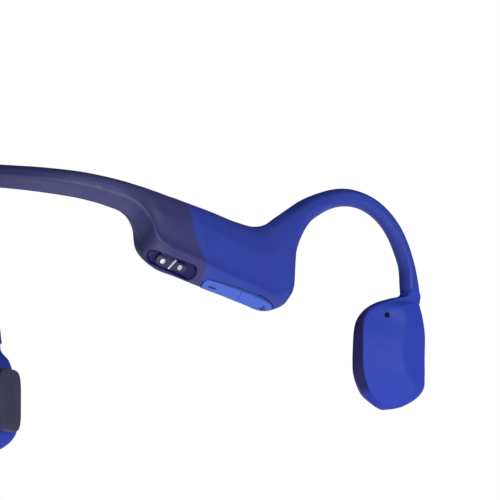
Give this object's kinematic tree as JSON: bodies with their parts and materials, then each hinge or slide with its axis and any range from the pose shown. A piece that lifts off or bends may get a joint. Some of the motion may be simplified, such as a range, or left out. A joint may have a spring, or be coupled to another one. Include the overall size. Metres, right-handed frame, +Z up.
{
  "type": "bone conduction headphones",
  "caption": "Open-ear bone conduction headphones: a springy neckband with ear hooks, control housings and transducer pods.",
  "frame": {"origin": "under the middle of the headphones, at the height of the lowest points of the pods", "axes": "+Z up as worn; the wearer faces -Y and the wearer's right side is at -X"},
  "size_m": [0.1186, 0.1317, 0.0446],
  "materials": {
    "band_silicone": "soft matte silicone, dark indigo",
    "body_silicone": "soft satin silicone skin, deep blue",
    "button_silicone": "satin silicone, brighter blue",
    "pad_silicone": "matte skin-contact silicone",
    "port_gloss": "glossy near-black plastic",
    "contact_metal": "bright plated contact",
    "titanium": "drawn titanium wire",
    "wire_jacket": "enamelled conductors",
    "circuit_board": "solder-masked board",
    "tin_can": "thin plated metal case",
    "magnet_nickel": "nickel-plated magnet",
    "steel": "stamped steel",
    "copper": "wound or plated copper"
  },
  "bodies": {
    "neckband": {"neckband_center_sleeve": "band_silicone", "neckband_center_wire": "titanium", "neckband_center_conductors": "wire_jacket"},
    "right_arm": {"antenna": "copper", "board_shield": "tin_can", "button_board": "circuit_board", "charge_contact_front": "contact_metal", "charge_contact_rear": "contact_metal", "charge_key_rib": "contact_metal", "charge_magnet": "magnet_nickel", "charge_port_bezel": "port_gloss", "main_board": "circuit_board", "neckband_right_conductors": "wire_jacket", "neckband_right_sleeve": "band_silicone", "neckband_right_wire": "titanium", "right_hook_conductors": "wire_jacket", "right_hook_sleeve": "body_silicone", "right_hook_wire": "titanium", "right_housing_inner_cover": "body_silicone", "right_housing_outer_shell": "body_silicone", "right_microphone": "tin_can", "right_pod_inner_shell": "body_silicone", "right_pod_outer_shell": "body_silicone", "right_rear_boot": "band_silicone", "right_skin_pad": "pad_silicone", "right_transducer_magnet": "magnet_nickel", "right_transducer_yoke": "steel", "right_vibration_spring": "steel", "right_voice_coil": "copper", "volume_down_switch": "tin_can", "volume_up_switch": "tin_can"},
    "left_arm": {"battery": "tin_can", "battery_protection_board": "circuit_board", "left_hook_conductors": "wire_jacket", "left_hook_sleeve": "body_silicone", "left_hook_wire": "titanium", "left_housing_inner_cover": "body_silicone", "left_housing_outer_shell": "body_silicone", "left_microphone": "tin_can", "left_pod_inner_shell": "body_silicone", "left_pod_outer_shell": "body_silicone", "left_rear_boot": "band_silicone", "left_skin_pad": "pad_silicone", "left_transducer_magnet": "magnet_nickel", "left_transducer_yoke": "steel", "left_vibration_spring": "steel", "left_voice_coil": "copper", "multifunction_switch": "tin_can", "neckband_left_conductors": "wire_jacket", "neckband_left_sleeve": "band_silicone", "neckband_left_wire": "titanium"},
    "volume_down": {"volume_down_button": "button_silicone"},
    "volume_up": {"volume_up_button": "button_silicone"},
    "multifunction": {"multifunction_button": "button_silicone"}
  },
  "joints": [
    {"name": "right_arm_flex", "type": "hinge", "parent": "neckband", "child": "right_arm", "pos_m": [-0.02501, 0.05786, 0.0391], "axis": [0, 0, -1], "range_deg": [-3, 12], "stiffness_Nm_per_rad": 0.6},
    {"name": "left_arm_flex", "type": "hinge", "parent": "neckband", "child": "left_arm", "pos_m": [0.02501, 0.05786, 0.0391], "axis": [0, 0, 1], "range_deg": [-3, 12], "stiffness_Nm_per_rad": 0.6},
    {"name": "volume_down_press", "type": "slide", "parent": "right_arm", "child": "volume_down", "axis": [0.7144, 0.2021, 0.6699], "range_m": [0, 0.00035], "stiffness_N_per_m": 3000},
    {"name": "volume_up_press", "type": "slide", "parent": "right_arm", "child": "volume_up", "axis": [0.7101, 0.1066, 0.696], "range_m": [0, 0.00035], "stiffness_N_per_m": 3000},
    {"name": "multifunction_press", "type": "slide", "parent": "left_arm", "child": "multifunction", "axis": [-0.9205, -0.3907, 0], "range_m": [0, 0.00035], "stiffness_N_per_m": 3000}
  ]
}
